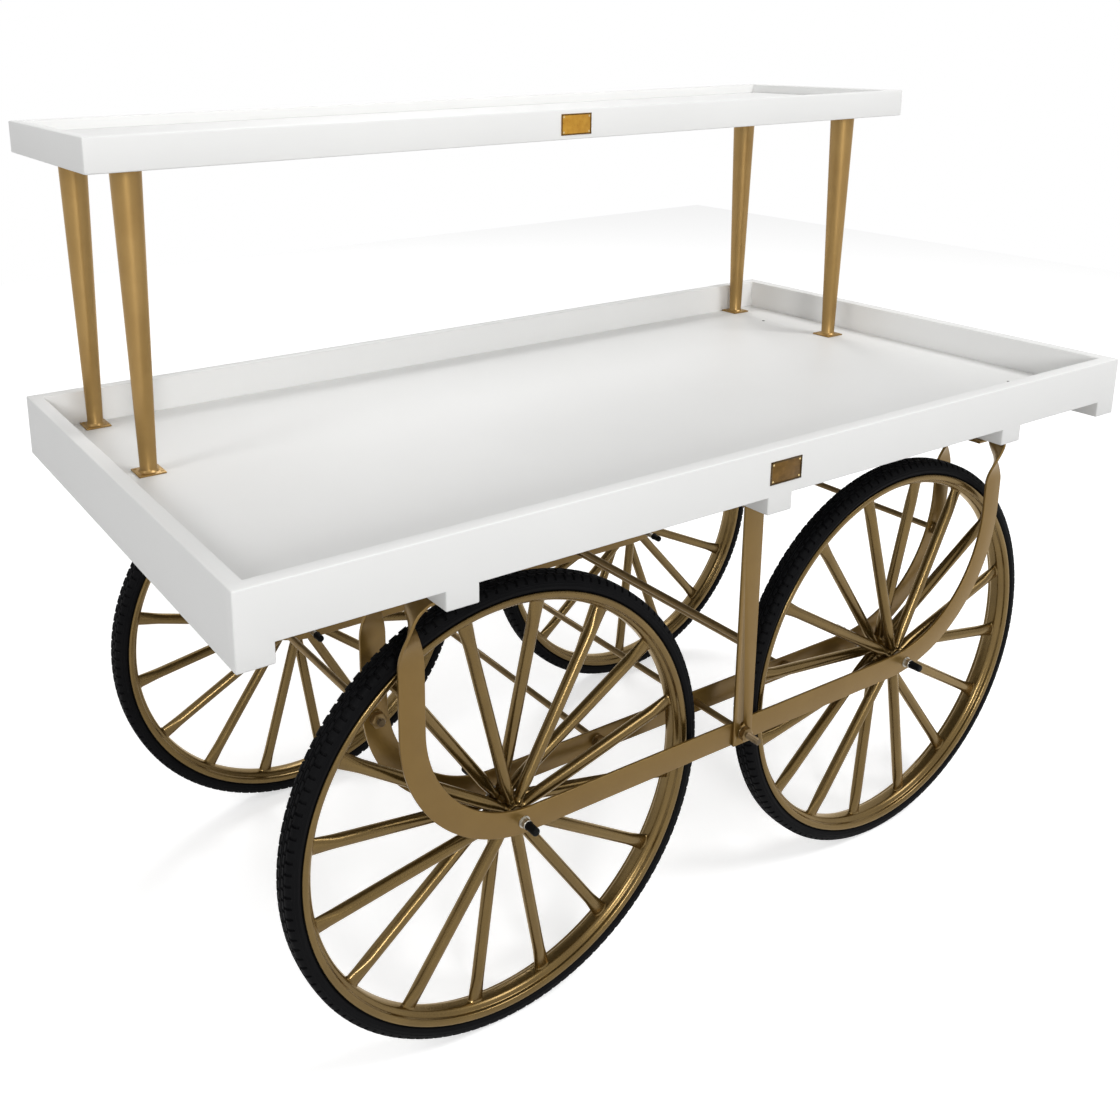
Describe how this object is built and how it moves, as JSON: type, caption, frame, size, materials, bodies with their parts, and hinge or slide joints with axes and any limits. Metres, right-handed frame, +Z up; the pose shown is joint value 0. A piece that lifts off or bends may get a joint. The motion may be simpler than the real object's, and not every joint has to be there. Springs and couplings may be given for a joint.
{
  "type": "four-wheeled market display cart",
  "caption": "Long open display tray with a raised back shelf on tapered legs, carried by flat steel straps on spoked wheels with solid black tyres.",
  "frame": {"origin": "on the floor, under the middle of the cart's bounding box", "axes": "+Z up, +X along the cart to the viewer's right when the viewer faces the low front of the tray, +Y from the front to the shelf side; the front faces -Y"},
  "size_m": [1.83, 0.968, 1.393],
  "materials": {
    "white_wood": "smooth white painted boards, satin",
    "gold_frame": "satin bronze-gold metallic paint on flat steel",
    "gold_leg": "satin light gold metallic paint",
    "gold_wheel": "satin bronze-gold metallic paint on welded tube",
    "gold_bolt": "satin bronze-gold metallic paint on bolts",
    "tyre_rubber": "matt black rubber with a fine tread",
    "axle_steel": "plain turned steel",
    "cap_rubber": "black moulded end cap",
    "plate_brass": "plain stamped brass plate"
  },
  "bodies": {
    "chassis": {"tray_board_front": "white_wood", "tray_board_back": "white_wood", "tray_board_left": "white_wood", "tray_board_right": "white_wood", "tray_deck": "white_wood", "crossbeam_left_end": "white_wood", "crossbeam_left": "white_wood", "crossbeam_centre": "white_wood", "crossbeam_right": "white_wood", "crossbeam_right_end": "white_wood", "shelf_board_front": "white_wood", "shelf_board_back": "white_wood", "shelf_board_left": "white_wood", "shelf_board_right": "white_wood", "shelf_panel": "white_wood", "shelf_leg_front_left": "gold_leg", "shelf_leg_back_left": "gold_leg", "shelf_leg_front_right": "gold_leg", "shelf_leg_back_right": "gold_leg", "strap_front_outer": "gold_frame", "strap_front_inner": "gold_frame", "strap_back_outer": "gold_frame", "strap_back_inner": "gold_frame", "centre_post_front": "gold_frame", "centre_post_back": "gold_frame", "tie_bolt_high_left": "gold_bolt", "tie_bolt_high_left_nut": "gold_bolt", "tie_bolt_high_right": "gold_bolt", "tie_bolt_high_right_nut": "gold_bolt", "tie_bolt_low_left": "gold_bolt", "tie_bolt_low_left_nut": "gold_bolt", "tie_bolt_low_right": "gold_bolt", "tie_bolt_low_right_nut": "gold_bolt", "centre_through_bolt": "gold_bolt", "centre_through_bolt_nut": "gold_bolt", "brace_rod": "gold_bolt", "axle_front_left": "axle_steel", "axle_front_right": "axle_steel", "axle_back_left": "axle_steel", "axle_back_right": "axle_steel", "axle_cap_outer_front_left": "cap_rubber", "axle_cap_inner_front_left": "cap_rubber", "axle_cap_outer_front_right": "cap_rubber", "axle_cap_inner_front_right": "cap_rubber", "axle_cap_outer_back_left": "cap_rubber", "axle_cap_inner_back_left": "cap_rubber", "axle_cap_outer_back_right": "cap_rubber", "axle_cap_inner_back_right": "cap_rubber", "shelf_nameplate": "plate_brass", "tray_nameplate": "plate_brass"},
    "front_left_wheel": {"wheel_front_left": "gold_wheel", "tyre_front_left": "tyre_rubber"},
    "front_right_wheel": {"wheel_front_right": "gold_wheel", "tyre_front_right": "tyre_rubber"},
    "back_left_wheel": {"wheel_back_left": "gold_wheel", "tyre_back_left": "tyre_rubber"},
    "back_right_wheel": {"wheel_back_right": "gold_wheel", "tyre_back_right": "tyre_rubber"}
  },
  "joints": [
    {"name": "front_left_wheel_spin", "type": "hinge", "parent": "chassis", "child": "front_left_wheel", "pos_m": [-0.451, -0.378, 0.37916], "axis": [0, 1, 0], "continuous": true},
    {"name": "front_right_wheel_spin", "type": "hinge", "parent": "chassis", "child": "front_right_wheel", "pos_m": [0.426, -0.378, 0.37916], "axis": [0, 1, 0], "continuous": true},
    {"name": "back_left_wheel_spin", "type": "hinge", "parent": "chassis", "child": "back_left_wheel", "pos_m": [-0.451, 0.368, 0.37916], "axis": [0, 1, 0], "continuous": true},
    {"name": "back_right_wheel_spin", "type": "hinge", "parent": "chassis", "child": "back_right_wheel", "pos_m": [0.426, 0.368, 0.37916], "axis": [0, 1, 0], "continuous": true}
  ]
}
